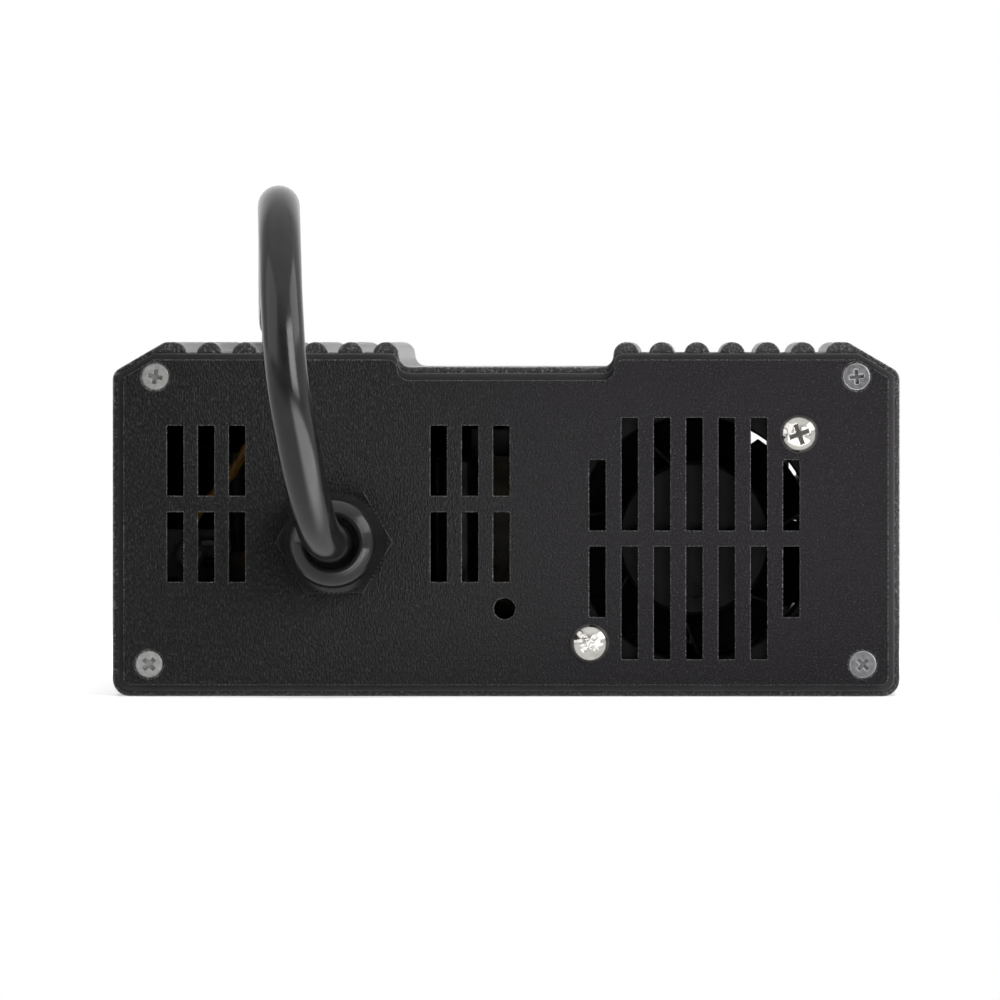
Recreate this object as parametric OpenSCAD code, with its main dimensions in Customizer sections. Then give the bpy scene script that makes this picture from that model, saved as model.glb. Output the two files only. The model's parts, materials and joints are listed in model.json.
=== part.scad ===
// Lithium battery charger: a ribbed extruded aluminium case with two end plates, a cooling fan,
// a mains lead in a cable gland and the power electronics inside.
// The origin is at the bottom centre of the case. The mains end faces -Y and the ribs point up.

/* [Case] */
// Width of the case
case_w = 188.4; // [186.4:0.5:190.4]
// Length of the aluminium extrusion
shell_l = 212; // [212:1:224]
// Height of the ribs' tops over the bottom
case_h = 84.8; // [84:0.1:84.8]
// Wall of the extrusion
wall = 2.5; // [2:0.1:3]
// Radius of a rib's rounded top
rib_r = 3.1; // [2.8:0.1:3.2]
// Spacing of the ribs
rib_pitch = 8.45; // [8.25:0.05:8.55]
// Ribs on each side of the middle recess
rib_count = 7; // [6:1:7]

/* [End plates] */
// Thickness of an end plate
plate_t = 2.5; // [2:0.1:3]
// Thickness of the gasket under it
gasket_t = 1.5; // [1:0.1:2]
// Width of a vent slot
slot_w = 3.95; // [3:0.05:4.2]
// Head diameter of a plate screw
plate_screw_head = 6.5; // [6:0.1:6.8]

/* [Fan] */
// Side of the square fan
fan_size = 60; // [60:1:61]
// Depth of the fan
fan_t = 25; // [25:0.1:25.5]
// Distance of the fan's axis from the case's middle plane
fan_x = 45.1; // [44.8:0.1:45.2]
// Height of the fan's axis
fan_z = 37.8; // [37:0.1:39]
// Number of fan blades
blade_count = 7; // [5:1:9]

/* [Mains lead] */
// Diameter of the mains lead
cord_d = 10; // [9:0.5:10]
// Distance of the mains gland from the case's middle plane
gland_x = -41; // [-42:0.5:-40]
// Height of both glands
gland_z = 37; // [36:0.5:38]
// Whole turns of the stored coil
coil_turns = 2; // [2:1:3]

/* [Electronics] */
// Height of the circuit board's underside
board_z = 12; // [12:0.1:12.4]
// Diameter of the two mains capacitors
bulk_cap_d = 30; // [25:1:30]
// Height of the two mains capacitors
bulk_cap_h = 45; // [35:1:46]

/* [Hidden] */

$fn = 64;
eps = 0.01;

half_w = case_w / 2;
shell_y = shell_l / 2;
end_y = shell_y + gasket_t + plate_t;
back_of_plate = shell_y + gasket_t;

// Heights of the case's outline
rib_z = case_h - rib_r;
rib_foot = 11.5;
recess_z = case_h - 6;
recess_r = 2.8;
first_rib_x = 28.8;
last_rib_x = first_rib_x + (rib_count - 1) * rib_pitch;
flat_top = 1.4;
chamfer_angle = 29.8;
shoulder_r = 3;
foot_r = 4;
rib_steps = 10;

// Insets of the gasket, the plate and the cavity from the case's outline
gasket_inset = 1.25;
plate_inset = 2.7;

// Plate screws: x and z of each, and the angle of its cross recess
high_screw_x = half_w - 10.3;
low_screw_x = half_w - 8.8;
high_screw_z = 76.5;
low_screw_z = 7.7;
screw_places = [
    [-high_screw_x, high_screw_z, -12], [high_screw_x, high_screw_z, 5],
    [-low_screw_x, low_screw_z, 45], [low_screw_x, low_screw_z, 45]
];
screw_r = 1.5;
screw_l = 12;
head_sunk = 0.25;
head_r = plate_screw_head / 2;
head_t = head_r - screw_r;
boss_r = 3.9;

// Lowest and highest z of the two rows of vent slots, and the spacing of the slots
upper_slots = [48, 64.8];
lower_slots = [27.4, 44.1];
slot_pitch = 7.5;
fan_slot_pitch = 7.73;
led_r = 2.5;
led_x = [5, 17];
led_z = 24;

// Fan
fan_front = -back_of_plate;
fan_hole = 25;
duct_r = 29;
hub_r = 18.4;
blade_r = 28.2;
blade_turn = 17.2;
shaft_r = 1.5;
fan_flange = 3.4;

// Glands
gland_hex = 24.4;
gland_thread_r = 9.9;
gland_hole_r = 10.15;
gland_flange = 5;
gland_l = 25;
gland_bore = 6.1;
crown_r = 12.9;
crown_l = 5.4;
crown_teeth = 68;
out_gland_x = 41;
out_gland_z = 52;

// Mains lead. The route starts in the gland, rises in an arch over the mains end, lies on the ribs
// and drops behind the case to the coil. The tail runs from the coil to the plug.
cord_r = cord_d / 2;
cord_sides = 12;
coil_x = -33;
coil_y = 227;
coil_r = 55;
coil_low = 6.4;
coil_pitch = 10.2;
coil_part_turn = 0.292;
coil_high = coil_low + coil_pitch * (coil_turns + coil_part_turn);
plug_x = 22;
plug_y = coil_y + coil_r;
plug_z = 18.6;
plug_r = 18.5;
plug_relief = 20;
plug_body = 33;
pin_gap = 19;
cord_route = [
    [gland_x, -106, gland_z], [gland_x, -131, gland_z], [gland_x - 0.9, -141.9, gland_z + 0.6],
    [-43.6, -150.3, 40], [-45.8, -163.3, 48.7], [-48.2, -172, 61.7], [-50.6, -175, 77],
    [-51.8, -172, 92.3], [-52.5, -163.3, 105.3], [-53.1, -150.3, 114], [-53.6, -135, 117],
    [-53.9, -121.3, 114.6], [-54.2, -109.3, 107.6], [-54.5, -99.4, 99.3], [-54.8, -87.4, 92.4],
    [-55.1, -73.7, 89.9], [-55.5, -50, 89.9], [-56.1, -25, 89.9], [-56.8, 0, 89.9],
    [-57.5, 25, 89.9], [-58.2, 50, 89.9], [-59, 80, 89.9], [-60, 115, 89.9],
    [-60.4, 130.3, 86.9], [-60.8, 143.3, 78.2], [-61.3, 152, 65.2], [-62, 155.3, 47.8],
    [-63.8, 158.5, 30], [-67.8, 166.3, 16.8], [-74.3, 179, 8.1], [-80.3, 193.6, 5.2],
    [-86.1, 212.8, 6.4]
];

// The tail falls from the coil's top turn to the plug: x, and the share of the fall still to come
tail_fall = [
    [coil_x, 1], [-22, 0.973], [-12, 0.804], [-4, 0.518], [4, 0.223], [10, 0.08], [16, 0.009],
    [plug_x, 0]
];
tail_route = [for (p = tail_fall) [p.x, plug_y, plug_z + p.y * (coil_high - plug_z)]];

// Electronics
board_t = 1.6;
board_top = board_z + board_t;
board_front = -77;
board_back = 100;
board_w = case_w - 10;
sheet_t = 0.4;
choke_at = [-70, -20];
choke_core = [15.5, 8.5, 13];
choke_wire = 1.6;
inductor_at = [41, -14];
inductor_core = [14, 7.5, 18];
inductor_wire = 2.2;
transformer_at = [11, -50];
filter_at = [-11, -70];
fuse_at = [-53, -60];
fuse_h = 9;
earth_x = -76.8;
earth_z = 33.8;
block_front = board_front + 1;
heatsink_h = 44;
heatsink_t = 4;
fin_l = 10;
primary_x = -42;
secondary_x = 64;
transistor_t = 5;
wire_r = 1.3;

// Places of the wires inside the case
fuse_top = board_top + fuse_h;
live_route = [
    [-38.6, -106, 38.4], [-38.6, -104, 38.4], [-38.4, -97, 38], [-38, -88, 35.5],
    [-40, -80, 33], [-44, -71, 33], [-47, -64, 31.5], [-48, -60, 28], [-48, -60, fuse_top]
];
neutral_route = [
    [-43, -106, 35.5], [-43, -104, 35.5], [-43.4, -97, 34.5], [-45, -89, 31.5],
    [-50, -81, 30], [-55, -72, 30], [-57.5, -64, 29.5], [-58, -60, 27], [-58, -60, fuse_top]
];
earth_route = [
    [-41.4, -106, 39.4], [-41.4, -104, 39.4], [-42.6, -98, 40.6], [-46, -94.5, 47],
    [-49.5, -92.5, 54.5], [-53, -91, 60.5], [-57, -90, 63.2], [-60.2, -89, 62],
    [-63, -88, 58.6], [-66.4, -86, 53.1], [-71, -83, 47.8], [-75, -80.5, 43.5],
    [earth_x, -78.3, 39.2]
];
fan_route = [
    [76.4, -90, 14], [78.5, -80, 20], [80, -66, 26], [80, -50, 25], [80, -42, 21],
    [80, -40, 17], [80, -40, board_top]
];
plus_route = [
    [38.4, 97, out_gland_z], [36, 90, 53], [34, 82, 46], [34, 77, 34], [34, 77, board_top]
];
minus_route = [
    [43.6, 97, out_gland_z], [48, 90, 51], [52, 82, 44], [54, 77, 32], [54, 77, board_top]
];

function arc(c, r, from, to, steps) = [
    for (i = [0:steps])
        let (a = from + (to - from) * i / steps)
        [c.x + r * cos(a), c.y + r * sin(a)]
];

function mirrored(points) = [for (i = [len(points) - 1:-1:0]) [-points[i].x, points[i].y]];

// Right half of the case's outline, from the middle of the recess round to the bottom
function case_half() = concat(
    arc([first_rib_x - rib_r - recess_r, recess_z + recess_r], recess_r, -90, 0, 6),
    arc([first_rib_x, rib_z], rib_r, 180, rib_foot, rib_steps),
    [
        for (n = [1:rib_count - 2])
            each arc([first_rib_x + n * rib_pitch, rib_z], rib_r, 180 - rib_foot, rib_foot, rib_steps)
    ],
    arc([last_rib_x, rib_z], rib_r, 180 - rib_foot, 90, 5),
    arc([last_rib_x + flat_top, rib_z], rib_r, 90, 90 - chamfer_angle, 3),
    arc([half_w - shoulder_r, shoulder_z()], shoulder_r, 90 - chamfer_angle, 0, 5),
    arc([half_w - foot_r, foot_r], foot_r, 0, -90, 6)
);

function shoulder_z() =
    rib_z - (half_w - shoulder_r - last_rib_x - flat_top) * tan(chamfer_angle);

// Right half of an outline that follows the case without its ribs, inset by i. Its step down to the
// middle recess stands step_in outside the first rib's side.
function plain_half(i, low_r, steps, step_in) = let (
    side = half_w - i,
    top = case_h - 1.5 - i,
    floor = recess_z - 1.15 * i,
    chamfer_x = half_w - 9.8,
    step_x = first_rib_x - rib_r + step_in,
    top_r = 2.1,
    low_step_r = top - floor - top_r
) concat(
    arc([step_x - low_step_r, floor + low_step_r], low_step_r, -90, 0, steps),
    arc([step_x + top_r, top - top_r], top_r, 180, 90, steps),
    [[chamfer_x, top], [side, top - (side - chamfer_x) * tan(31)]],
    arc([side - low_r, i + low_r], low_r, 0, -90, 5)
);

function both_halves(half) = concat(half, mirrored(half));

// Normalised sum of the directions into and out of point i of a route
function unit(v) = v / norm(v);
function heading(route, i) = let (n = len(route) - 1)
    unit((i < n ? unit(route[i + 1] - route[i]) : [0, 0, 0])
        + (i > 0 ? unit(route[i] - route[i - 1]) : [0, 0, 0]));

// A round tube swept along a route; across is a direction that the route never takes
module tube(route, r, sides, across) {
    rings = len(route);
    points = [
        for (i = [0:rings - 1])
            let (t = heading(route, i), u = unit(cross(across, t)), v = cross(t, u))
            for (k = [0:sides - 1])
                route[i] + r * (cos(360 * k / sides) * u + sin(360 * k / sides) * v)
    ];
    sides_faces = [
        for (i = [0:rings - 2], k = [0:sides - 1])
            let (a = i * sides + k, b = i * sides + (k + 1) % sides)
            each [[a, b, a + sides], [b, b + sides, a + sides]]
    ];
    first_cap = [for (k = [sides - 1:-1:0]) k];
    last_cap = [for (k = [0:sides - 1]) (rings - 1) * sides + k];
    polyhedron(points, concat(sides_faces, [first_cap, last_cap]), convexity = 8);
}

// Stands a profile drawn in x and z up in the world, from y to y + depth
module upright(y, depth) {
    translate([0, y + depth, 0]) rotate([90, 0, 0]) linear_extrude(depth) children();
}

// A cylinder along Y from y to y + depth
module along_y(x, y, z, r, depth) {
    translate([x, y + depth, z]) rotate([90, 0, 0]) cylinder(r = r, h = depth);
}

module box(low, high) {
    translate(low) cube(high - low);
}

// Case

module screw_channels(r, grow) {
    for (p = screw_places)
        along_y(p.x, -shell_y - grow, p.y, r, shell_l + 2 * grow);
}

// Webs that tie the screw channels to the side walls
module boss_webs() {
    web_t = 2.4;
    for (p = screw_places)
        translate([sign(p.x) * (abs(p.x) + boss_r), 0, p.y])
            cube([2 * boss_r, shell_l, web_t], center = true);
}

module board_rails() {
    for (side = [-1, 1], z = [board_z - 1.4, board_z + 2])
        translate([side * (half_w - wall - 1.2), 0, z + 0.7])
            cube([3.6, shell_l, 1.4], center = true);
}

module housing_shell() {
    color("#1d1c1f")
    difference() {
        union() {
            difference() {
                upright(-shell_y, shell_l) polygon(both_halves(case_half()));
                upright(-shell_y - 1, shell_l + 2) polygon(both_halves(plain_half(wall, 2, 2, 2)));
            }
            intersection() {
                union() {
                    screw_channels(boss_r, 0);
                    boss_webs();
                }
                upright(-shell_y, shell_l) polygon(both_halves(plain_half(0.8, 3, 2, 0.2)));
            }
            board_rails();
        }
        screw_channels(screw_r + 0.05, 1);
    }
}

module gasket(side) {
    y = side < 0 ? -shell_y - gasket_t : shell_y;
    difference() {
        union() {
            difference() {
                upright(y, gasket_t) polygon(both_halves(plain_half(gasket_inset, 3, 6, 0.15)));
                upright(y - 1, gasket_t + 2) polygon(both_halves(plain_half(5, 2, 2, 3)));
            }
            intersection() {
                for (p = screw_places) along_y(p.x, y, p.y, boss_r + 0.6, gasket_t);
                upright(y, gasket_t) polygon(both_halves(plain_half(gasket_inset, 3, 6, 0.15)));
            }
        }
        for (p = screw_places) along_y(p.x, y - 1, p.y, screw_r + 0.3, gasket_t + 2);
    }
}

module input_gasket() {
    color("#121214") gasket(-1);
}

module output_gasket() {
    color("#121214") gasket(1);
}

// A blank plate for either end, with its countersunk screw holes
module blank_plate() {
    difference() {
        upright(-end_y, plate_t) polygon(both_halves(plain_half(plate_inset, 1.8, 6, 0.3)));
        for (p = screw_places) {
            along_y(p.x, -end_y - 1, p.y, screw_r + 0.2, plate_t + 2);
            translate([p.x, -end_y + head_sunk, p.y]) rotate([-90, 0, 0])
                cylinder(r1 = head_r, r2 = screw_r, h = head_t);
            along_y(p.x, -end_y - 1, p.y, head_r + 0.25, 1 + head_sunk);
        }
    }
}

// One vertical vent slot through the plate
module slot(x, low, high) {
    box([x - slot_w / 2, -end_y - 1, low], [x + slot_w / 2, -end_y + plate_t + 1, high]);
}

// Vent slots side by side in the given rows
module slots(first_x, pitch, count, rows) {
    for (n = [0:count - 1], row = rows) slot(first_x + n * pitch, row[0], row[1]);
}

// Slots in front of the fan, in two rows; the outermost ones are shorter
module fan_slots() {
    long = 28.9;
    short = 18.8;
    gap = 1.9;
    for (n = [-3:3]) {
        reach = abs(n) < 3 ? long : short;
        slot(fan_x + n * fan_slot_pitch, fan_z + gap, fan_z + reach);
        slot(fan_x + n * fan_slot_pitch, fan_z - reach, fan_z - gap);
    }
}

module input_plate() {
    color("#2a292b")
    difference() {
        blank_plate();
        slots(-79.1, 7.4, 3, [lower_slots, upper_slots]);
        slots(-16.05, slot_pitch, 3, [lower_slots, upper_slots]);
        fan_slots();
        along_y(gland_x, -end_y - 1, gland_z, gland_hole_r, plate_t + 2);
        along_y(-0.3, -end_y - 1, 21, 2.55, plate_t + 2);
        for (side = [-1, 1])
            along_y(fan_x + side * fan_hole, -end_y - 1, fan_z + side * fan_hole, 2.15, plate_t + 2);
    }
}

module output_plate() {
    color("#2a292b")
    rotate([0, 0, 180])
    difference() {
        blank_plate();
        slots(-69, slot_pitch, 2, [lower_slots, upper_slots]);
        slots(-16, slot_pitch, 3, [lower_slots]);
        slots(62, slot_pitch, 3, [lower_slots]);
        along_y(-out_gland_x, -end_y - 1, out_gland_z, gland_hole_r, plate_t + 2);
        for (x = led_x) along_y(x, -end_y - 1, led_z, led_r, plate_t + 2);
    }
}

// Cross recess for a driver, in a head whose top is at z = 0
module cross_recess(span, width, depth) {
    for (a = [0, 90])
        rotate([0, 0, a]) translate([-span / 2, -width / 2, -depth]) cube([span, width, depth + 1]);
}

module countersunk_screw(turn) {
    difference() {
        union() {
            translate([0, 0, -head_t]) cylinder(r1 = screw_r, r2 = head_r, h = head_t);
            translate([0, 0, -screw_l]) cylinder(r = screw_r, h = screw_l - head_t + eps);
        }
        rotate([0, 0, turn]) cross_recess(3.5, 0.95, 1.3);
    }
}

module input_plate_screws() {
    color("#a9a9a8")
    for (p = screw_places)
        translate([p.x, -end_y + head_sunk, p.y]) rotate([90, 0, 0]) countersunk_screw(p.z);
}

module output_plate_screws() {
    color("#a9a9a8")
    rotate([0, 0, 180])
    for (p = screw_places)
        translate([p.x, -end_y + head_sunk, p.y]) rotate([90, 0, 0]) countersunk_screw(p.z + 20);
}

// Fan. Its parts are drawn in the fan's own frame: z runs from the intake face at 0 to fan_t.

module in_fan() {
    translate([fan_x, fan_front, fan_z]) rotate([-90, 0, 0]) children();
}

module fan_flange_plate() {
    corner = 4;
    inner = fan_size / 2 - corner;
    difference() {
        linear_extrude(fan_flange) union() {
            square([fan_size, 2 * inner], center = true);
            square([2 * inner, fan_size], center = true);
            for (sx = [-1, 1], sy = [-1, 1]) translate([sx * inner, sy * inner]) circle(corner);
        }
        for (sx = [-1, 1], sy = [-1, 1])
            translate([sx * fan_hole, sy * fan_hole, -1]) cylinder(r = 2.15, h = fan_flange + 2);
    }
}

module fan_frame() {
    base_r = 17;
    base_t = 2.2;
    base_z = fan_t - base_t;
    color("#161618")
    in_fan() {
        difference() {
            union() {
                fan_flange_plate();
                translate([0, 0, fan_t - fan_flange]) fan_flange_plate();
                translate([0, 0, 0.5]) cylinder(r = fan_size / 2 - 0.1, h = fan_t - 1, $fn = 96);
            }
            translate([0, 0, -1]) cylinder(r = duct_r, h = fan_t + 2, $fn = 96);
            translate([0, 0, -eps]) cylinder(r1 = duct_r + 0.6, r2 = duct_r - 0.4, h = 1.5, $fn = 96);
        }
        difference() {
            union() {
                translate([0, 0, base_z]) cylinder(r = base_r, h = base_t);
                translate([0, 0, 8]) cylinder(r = 3.8, h = base_z - 8 + eps);
                intersection() {
                    translate([0, 0, base_z]) cylinder(r = duct_r + 0.5, h = base_t);
                    for (n = [0:3])
                        rotate([0, 0, 45 + 90 * n])
                            translate([base_r - 1, -1.6, base_z]) cube([duct_r - base_r + 2, 3.2, base_t]);
                }
            }
            translate([0, 0, 7]) cylinder(r = shaft_r + 0.05, h = fan_t);
        }
    }
}

// One cambered blade: an arc-shaped section that runs outward from the hub to the tip. In the
// section, x points to the intake and y round the hub.
module blade() {
    camber_r = 26;
    camber_at = [17.8, -14.9];
    thick = 1.1;
    low = [-8, -11];
    high = [7.5, 9.6];
    intersection() {
        rotate([0, 90, 0]) linear_extrude(blade_r + 2) intersection() {
            translate(camber_at) difference() {
                circle(camber_r + thick, $fn = 96);
                circle(camber_r, $fn = 96);
            }
            translate(low) square(high - low);
        }
        translate([0, 0, low.x - 1]) difference() {
            cylinder(r = blade_r, h = 18, $fn = 96);
            translate([0, 0, -1]) cylinder(r = hub_r - 0.6, h = 20, $fn = 96);
        }
    }
}

module fan_rotor() {
    hub_front = 1.4;
    hub_l = 19;
    color("#1b1b1e")
    in_fan() {
        difference() {
            union() {
                translate([0, 0, hub_front]) cylinder(r1 = hub_r - 0.8, r2 = hub_r, h = 0.8, $fn = 96);
                translate([0, 0, hub_front + 0.8]) cylinder(r = hub_r, h = hub_l - 0.8, $fn = 96);
            }
            translate([0, 0, hub_front + 1.6]) cylinder(r = hub_r - 1.6, h = hub_l);
            translate([0, 12.4, hub_front - 1]) cylinder(r = 1.9, h = 1.9);
        }
        translate([0, 0, hub_front + 1]) cylinder(r = shaft_r, h = 19);
        translate([0, 0, hub_front + 1]) cylinder(r = 3.4, h = 4);
        for (n = [0:blade_count - 1])
            rotate([0, 0, 360 * n / blade_count + blade_turn]) translate([0, 0, 11]) blade();
    }
}

module fan_stator() {
    color("#a8632c")
    in_fan() translate([0, 0, 10]) difference() {
        union() {
            cylinder(r = 6, h = 11);
            for (n = [0:3])
                rotate([0, 0, 90 * n]) intersection() {
                    translate([3, -4, 0]) cube([13, 8, 11]);
                    cylinder(r = 14.5, h = 11);
                }
        }
        translate([0, 0, -1]) cylinder(r = 3.8, h = 13);
    }
}

// Dome-headed screw with its head's seat at z = 0 and its top towards +z
module dome_screw(head, rise, r, length, turn) {
    ball = (head * head + rise * rise) / (2 * rise);
    difference() {
        union() {
            intersection() {
                translate([0, 0, rise - ball]) sphere(ball, $fn = 96);
                cylinder(r = head - 0.05, h = rise + 1);
            }
            translate([0, 0, -length]) cylinder(r = r, h = length + eps);
        }
        translate([0, 0, rise]) rotate([0, 0, turn]) cross_recess(5.2, 1.3, 1.9);
    }
}

module fan_screws() {
    color("#c9c6bf")
    for (side = [-1, 1])
        translate([fan_x + side * fan_hole, -end_y, fan_z + side * fan_hole]) rotate([90, 0, 0])
            dome_screw(4.75, 2.9, 2, plate_t + fan_t + 4.2, side > 0 ? 20 : 45);
}

module fan_nuts() {
    color("#c9c6bf")
    for (side = [-1, 1])
        translate([fan_x + side * fan_hole, fan_front + fan_t, fan_z + side * fan_hole])
            rotate([-90, 0, 0]) difference() {
                cylinder(d = 8.1, h = 3.2, $fn = 6);
                translate([0, 0, -1]) cylinder(r = 2, h = 6);
            }
}

// Cable glands, drawn with the plate's outer face at z = 0 and the mouth towards +z

module gland_body() {
    inner_l = 12;
    color("#141416")
    difference() {
        union() {
            cylinder(d = gland_hex / cos(30), h = gland_flange, $fn = 6);
            translate([0, 0, -inner_l]) cylinder(r = gland_thread_r, h = inner_l + 1);
            cylinder(r = 9.2, h = 17);
        }
        translate([0, 0, -inner_l - 1]) cylinder(r = gland_bore, h = 40);
        translate([0, 0, 6]) cylinder(r = 8, h = 20);
    }
}

// Toothed grip of the dome nut, coned off towards the mouth
module gland_crown() {
    tooth = 1;
    cone_l = 2.6;
    cone_r = 11.2;
    intersection() {
        linear_extrude(crown_l) polygon([
            for (n = [0:crown_teeth - 1], half = [0, 1])
                let (a = 360 * (n + half / 2) / crown_teeth, r = crown_r - half * tooth)
                [r * cos(a), r * sin(a)]
        ]);
        union() {
            cylinder(r = crown_r + 1, h = crown_l - cone_l);
            translate([0, 0, crown_l - cone_l]) cylinder(r1 = crown_r + 0.1, r2 = cone_r, h = cone_l);
        }
    }
}

// Section of the dome nut: radius and height
function cap_section() = concat(
    [[gland_bore, gland_flange + 1], [11.3, gland_flange + 1], [11.3, 11.4], [10.9, 12]],
    arc([10.85 - 6.4, 18.4], 6.4, 0, 62, 7),
    arc([gland_bore + 1.1, gland_l - 1.1], 1.1, 70, 180, 5)
);

module gland_cap() {
    color("#18181a")
    difference() {
        union() {
            translate([0, 0, gland_flange]) gland_crown();
            rotate_extrude($fn = 96) polygon(cap_section());
        }
        translate([0, 0, gland_flange - 1]) cylinder(r = 9.3, h = 14);
        translate([0, 0, 5]) cylinder(r = gland_bore, h = 30);
    }
}

module gland_seal() {
    color("#0e0e0f")
    difference() {
        translate([0, 0, 6]) cylinder(r = 8, h = 11.6);
        translate([0, 0, 5]) cylinder(r = cord_r, h = 20);
    }
}

module gland_locknut() {
    color("#141416")
    translate([0, 0, -plate_t - 5]) difference() {
        cylinder(d = 27 / cos(30), h = 5, $fn = 6);
        translate([0, 0, -1]) cylinder(r = gland_thread_r, h = 7);
    }
}

module at_mains_gland() {
    translate([gland_x, -end_y, gland_z]) rotate([90, 0, 0]) children();
}

module at_output_gland() {
    translate([out_gland_x, end_y, out_gland_z]) rotate([-90, 0, 0]) children();
}

module mains_gland_body() {
    at_mains_gland() gland_body();
}

module mains_gland_cap() {
    at_mains_gland() gland_cap();
}

module mains_gland_seal() {
    at_mains_gland() gland_seal();
}

module mains_gland_locknut() {
    at_mains_gland() gland_locknut();
}

module output_gland_body() {
    at_output_gland() gland_body();
}

module output_gland_cap() {
    at_output_gland() gland_cap();
}

module output_gland_seal() {
    at_output_gland() gland_seal();
}

module output_gland_locknut() {
    at_output_gland() gland_locknut();
}

// Mains lead

module mains_cord() {
    color("#1a191b") tube(cord_route, cord_r, cord_sides, [1, 0, 0]);
}

module cord_tail() {
    color("#1a191b") tube(tail_route, cord_r, cord_sides, [0, 1, 0]);
}

module cord_coil() {
    color("#1a191b")
    translate([coil_x, coil_y, 0]) rotate_extrude($fn = 96) {
        translate([coil_r - cord_r, coil_low]) square([cord_d, coil_high - coil_low]);
        for (z = [coil_low, coil_high]) translate([coil_r, z]) circle(cord_r);
    }
}

// Strap round the coil's turns
module cord_tie() {
    tie_w = 12;
    tie_t = 1.1;
    low = coil_low - cord_r;
    high = coil_high + cord_r;
    color("#242426")
    translate([coil_x, coil_y, 0]) rotate([0, 0, -35]) translate([coil_r, -tie_w / 2, 0])
    difference() {
        box([-cord_r - tie_t - 0.6, 0, low - tie_t], [cord_r + tie_t + 0.6, tie_w, high + tie_t]);
        box([-cord_r - 0.6, -1, low], [cord_r + 0.6, tie_w + 1, high]);
    }
}

module at_plug() {
    translate([plug_x, plug_y, plug_z]) rotate([0, 90, 0]) children();
}

// Section of the plug: radius and height, with the lead entering at 0
function plug_section() = concat(
    [[0, 0], [6.8, 0], [7.4, 1]],
    [[9.2, plug_relief - 3]],
    arc([plug_r - 6, plug_relief + 5], 6, -75, 0, 5),
    [[plug_r, plug_relief + plug_body - 1.2], [plug_r - 1.2, plug_relief + plug_body]],
    [[0, plug_relief + plug_body]]
);

module mains_plug() {
    face = plug_relief + plug_body;
    color("#1a191b")
    at_plug() difference() {
        rotate_extrude($fn = 96) polygon(plug_section());
        for (n = [0:3])
            translate([0, 0, 3.4 + 4 * n]) difference() {
                cylinder(r = 12, h = 1.5);
                translate([0, 0, -1]) cylinder(r = 6.6, h = 4);
            }
        for (side = [-1, 1]) {
            translate([side * (plug_r - 1.3), 0, face - 11]) cube([4, 9, 24], center = true);
            translate([0, side * pin_gap / 2, face - 14]) cylinder(r = 2.4, h = 20);
        }
        translate([9, 0, face - 16]) cylinder(r = 2.6, h = 20);
    }
}

module plug_pins() {
    face = plug_relief + plug_body;
    color("#c4b89a")
    at_plug() for (side = [-1, 1])
        translate([0, side * pin_gap / 2, face - 14]) {
            cylinder(r = 2.4, h = 14 + 18);
            translate([0, 0, 32]) cylinder(r1 = 2.4, r2 = 1.5, h = 1);
        }
}

module plug_earth_clips() {
    face = plug_relief + plug_body;
    color("#c4b89a")
    at_plug() for (side = [-1, 1])
        translate([side * (plug_r - 2.8), 0, face - 12]) cube([1, 7, 20], center = true);
}

// Electronics

module circuit_board() {
    color("#2f5d3a")
    difference() {
        box([-board_w / 2, board_front, board_z], [board_w / 2, board_back, board_top]);
        for (x = [-60, 60], y = [-70, 92]) translate([x, y, board_z - 1]) cylinder(r = 1.7, h = 4);
    }
}

module insulation_sheet() {
    color("#cfc9b0") box([-80, board_front, wall], [80, board_back, wall + sheet_t]);
}

// Moulded block at the mains end of the board that carries the earth stud and its clamp
module terminal_block() {
    color("#202022")
    difference() {
        box([-84, block_front, board_top], [-67, block_front + 9, 39.5]);
        along_y(earth_x, block_front - 1, earth_z, 2, 11);
        box([-82.5, block_front - 1, board_top + 2], [-79.5, block_front + 5, 28]);
        box([-72.5, block_front - 1, board_top + 2], [-69.5, block_front + 5, 28]);
    }
}

module earth_stud() {
    color("#b9b7b0")
    translate([earth_x, block_front, earth_z]) rotate([90, 0, 0]) {
        translate([0, 0, -8]) cylinder(r = 1.95, h = 13);
        translate([0, 0, 1]) cylinder(d = 6.2, h = 2.4, $fn = 6);
    }
}

// Bent strip on the block's face with a short screw in its web
module earth_clamp() {
    thread = 0.7;
    color("#b9b7b0") {
        box([-73.8, block_front - 4, 35.8], [-68.5, block_front, 37]);
        box([-69.5, block_front - 4, 29.5], [-68.5, block_front, 37]);
        translate([-73.4, block_front - 2, 31.6]) rotate([0, 90, 0]) rotate_extrude($fn = 48)
            polygon(concat(
                [[0, 0]],
                [for (n = [0:4]) each [[1.1, n * thread], [1.5, (n + 0.5) * thread]]],
                [[1.1, 5 * thread], [1.1, 4.4], [0, 4.4]]
            ));
    }
}

module ring_terminal() {
    tab = 1.6;
    color("#c3a066")
    difference() {
        union() {
            along_y(earth_x, block_front - 1, earth_z, 3.6, 1);
            box([earth_x - tab, block_front - 1, 36.4], [earth_x + tab, block_front, 39.5]);
        }
        along_y(earth_x, block_front - 2, earth_z, 2, 4);
    }
}

module input_fuse() {
    color("#d9d6c8")
    translate([fuse_at.x, fuse_at.y, board_top]) box([-12, -4.5, 0], [12, 4.5, fuse_h]);
}

module filter_capacitor() {
    color("#202226") translate([filter_at.x, filter_at.y, board_top]) can_capacitor(12.8, 43.4);
}

module noise_capacitor() {
    color("#c99b2c") box([-84, -52, board_top], [-58, -41, board_top + 20]);
}

// A ring core, given by its outer radius, inner radius and height
module core_ring(core) {
    difference() {
        cylinder(r = core[0], h = core[2]);
        translate([0, 0, -1]) cylinder(r = core[1], h = core[2] + 2);
    }
}

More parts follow.
